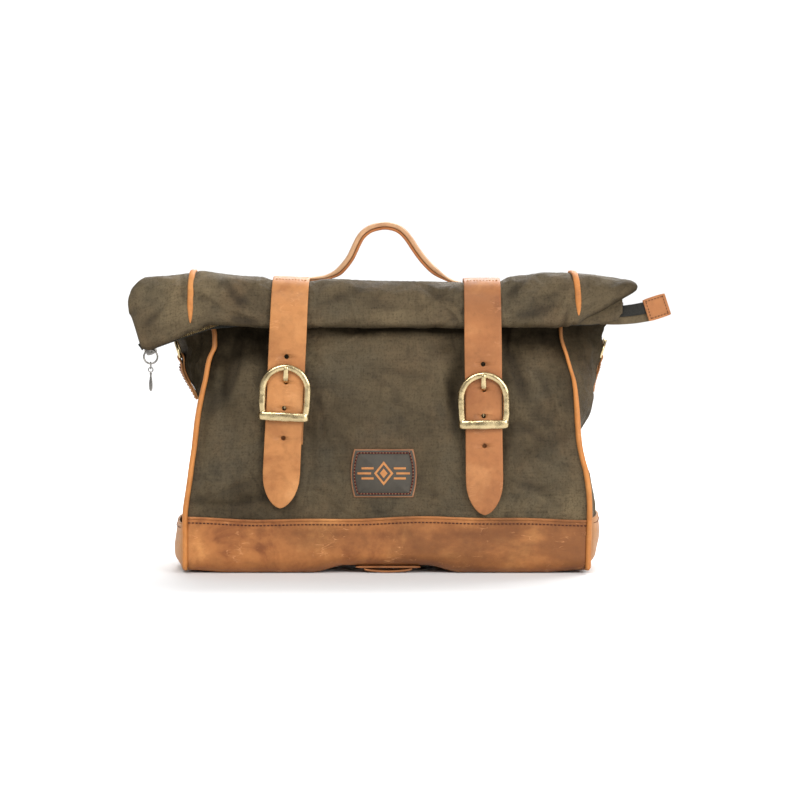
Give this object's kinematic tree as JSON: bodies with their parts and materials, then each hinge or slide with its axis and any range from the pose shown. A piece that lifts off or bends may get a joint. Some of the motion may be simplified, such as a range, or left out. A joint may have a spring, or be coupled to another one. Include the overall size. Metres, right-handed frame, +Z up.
{
  "type": "motorcycle saddlebag",
  "caption": "Fold-top waxed canvas saddlebag with leather base, piped seams, buckled closing straps, carry handle and zip collar.",
  "frame": {"origin": "on the ground under the middle of the leather base", "axes": "+X to the right as seen from the front, +Y towards the back panel that lies against the motorcycle, +Z up"},
  "size_m": [0.5154, 0.1537, 0.3352],
  "materials": {
    "canvas": "waxed olive-brown canvas, satin sheen, dusty creases",
    "lining_cloth": "plain woven cotton",
    "zip_tape": "black woven tape",
    "strap_leather": "tan oiled leather, matte",
    "base_leather": "tan leather with dark patina and scuffs",
    "piping_leather": "light tan leather cord",
    "label_leather": "dark printed leather",
    "stiffener": "plain sheet",
    "antique_brass": "hammered, aged",
    "nickel": "bright nickel"
  },
  "bodies": {
    "bag": {"front_panel": "canvas", "back_panel": "canvas", "left_gusset": "canvas", "right_gusset": "canvas", "front_piping_left": "piping_leather", "front_piping_right": "piping_leather", "back_piping_left": "piping_leather", "back_piping_right": "piping_leather", "base_wrap": "base_leather", "base_side_left": "base_leather", "base_side_right": "base_leather", "base_board": "stiffener", "back_board": "stiffener", "lining": "lining_cloth", "inner_pocket": "lining_cloth", "collar_stem": "canvas", "strap_back_left": "strap_leather", "strap_back_right": "strap_leather", "snap_stud_left": "antique_brass", "snap_stud_right": "antique_brass", "d_ring_tab_left": "strap_leather", "d_ring_tab_right": "strap_leather", "rear_loop_left": "strap_leather", "rear_loop_right": "strap_leather", "rear_loop_rivets": "antique_brass", "bottom_patch": "strap_leather", "bottom_loop": "strap_leather", "label_patch": "label_leather"},
    "flap": {"collar_flap": "canvas", "flap_piping_left": "piping_leather", "flap_piping_right": "piping_leather", "zip_tape_upper": "zip_tape", "zip_tape_lower": "zip_tape", "zip_teeth": "antique_brass"},
    "left_strap": {"strap_front_left": "strap_leather", "chape_left": "strap_leather", "snap_socket_left": "antique_brass"},
    "right_strap": {"strap_front_right": "strap_leather", "chape_right": "strap_leather", "snap_socket_right": "antique_brass"},
    "left_buckle": {"buckle_frame_left": "antique_brass"},
    "right_buckle": {"buckle_frame_right": "antique_brass"},
    "left_prong": {"buckle_prong_left": "antique_brass"},
    "right_prong": {"buckle_prong_right": "antique_brass"},
    "carry_handle": {"handle": "strap_leather"},
    "slider": {"zip_slider": "nickel"},
    "pull_ring": {"pull_ring": "nickel"},
    "pull_link": {"pull_link": "nickel"},
    "pull_bar": {"pull_bar": "nickel"},
    "zip_tail": {"zip_tail_tape": "zip_tape", "zip_end_tab": "strap_leather"},
    "left_ring": {"d_ring_left": "antique_brass"},
    "right_ring": {"d_ring_right": "antique_brass"}
  },
  "joints": [
    {"name": "flap_open", "type": "hinge", "parent": "bag", "child": "flap", "pos_m": [0, -0.016, 0.285], "axis": [-1, 0, 0], "range_deg": [0, 100]},
    {"name": "left_strap_lift", "type": "hinge", "parent": "flap", "child": "left_strap", "pos_m": [-0.094, -0.016, 0.285], "axis": [-0.9988, 0, 0.0489], "range_deg": [0, 70]},
    {"name": "left_buckle_rock", "type": "hinge", "parent": "left_strap", "child": "left_buckle", "pos_m": [-0.1006, -0.0662, 0.15016], "axis": [0.9988, 0, -0.0489], "range_deg": [0, 6], "stiffness_Nm_per_rad": 0.4},
    {"name": "left_prong_lift", "type": "hinge", "parent": "left_buckle", "child": "left_prong", "pos_m": [-0.1006, -0.0662, 0.15016], "axis": [0.9988, 0, -0.0489], "range_deg": [0, 3], "stiffness_Nm_per_rad": 0.02},
    {"name": "right_strap_lift", "type": "hinge", "parent": "flap", "child": "right_strap", "pos_m": [0.0875, -0.016, 0.285], "axis": [-0.9999, 0, -0.0122], "range_deg": [0, 70]},
    {"name": "right_buckle_rock", "type": "hinge", "parent": "right_strap", "child": "right_buckle", "pos_m": [0.08923, -0.0662, 0.14301], "axis": [0.9999, 0, 0.0122], "range_deg": [0, 6], "stiffness_Nm_per_rad": 0.4},
    {"name": "right_prong_lift", "type": "hinge", "parent": "right_buckle", "child": "right_prong", "pos_m": [0.08923, -0.0662, 0.14301], "axis": [0.9999, 0, 0.0122], "range_deg": [0, 3], "stiffness_Nm_per_rad": 0.02},
    {"name": "handle_lean", "type": "hinge", "parent": "flap", "child": "carry_handle", "pos_m": [0, -0.022, 0.2818], "axis": [-1, 0, 0], "range_deg": [-40, 30], "stiffness_Nm_per_rad": 0.12},
    {"name": "zip_slide", "type": "slide", "parent": "flap", "child": "slider", "axis": [0.9479, 0, 0.3184], "range_m": [0, 0.042]},
    {"name": "pull_ring_swing", "type": "hinge", "parent": "slider", "child": "pull_ring", "pos_m": [-0.22842, -0.05615, 0.21305], "axis": [1, 0, 0], "range_deg": [-35, 0]},
    {"name": "pull_link_swing", "type": "hinge", "parent": "pull_ring", "child": "pull_link", "pos_m": [-0.22842, -0.05615, 0.20005], "axis": [0, 1, 0], "range_deg": [-15, 15]},
    {"name": "pull_bar_swing", "type": "hinge", "parent": "pull_link", "child": "pull_bar", "pos_m": [-0.22842, -0.05615, 0.1951], "axis": [1, 0, 0], "range_deg": [-15, 15]},
    {"name": "zip_tail_bend", "type": "hinge", "parent": "flap", "child": "zip_tail", "pos_m": [0.2095, -0.0522, 0.2484], "axis": [0, -1, 0], "range_deg": [-30, 15], "stiffness_Nm_per_rad": 0.05},
    {"name": "right_ring_swing", "type": "hinge", "parent": "bag", "child": "right_ring", "pos_m": [0.2035, 0, 0.2048], "axis": [0, 1, 0], "range_deg": [-5, 150], "stiffness_Nm_per_rad": 0.004},
    {"name": "left_ring_swing", "type": "hinge", "parent": "bag", "child": "left_ring", "pos_m": [-0.2035, 0, 0.2048], "axis": [0, -1, 0], "range_deg": [-5, 150], "stiffness_Nm_per_rad": 0.004}
  ]
}
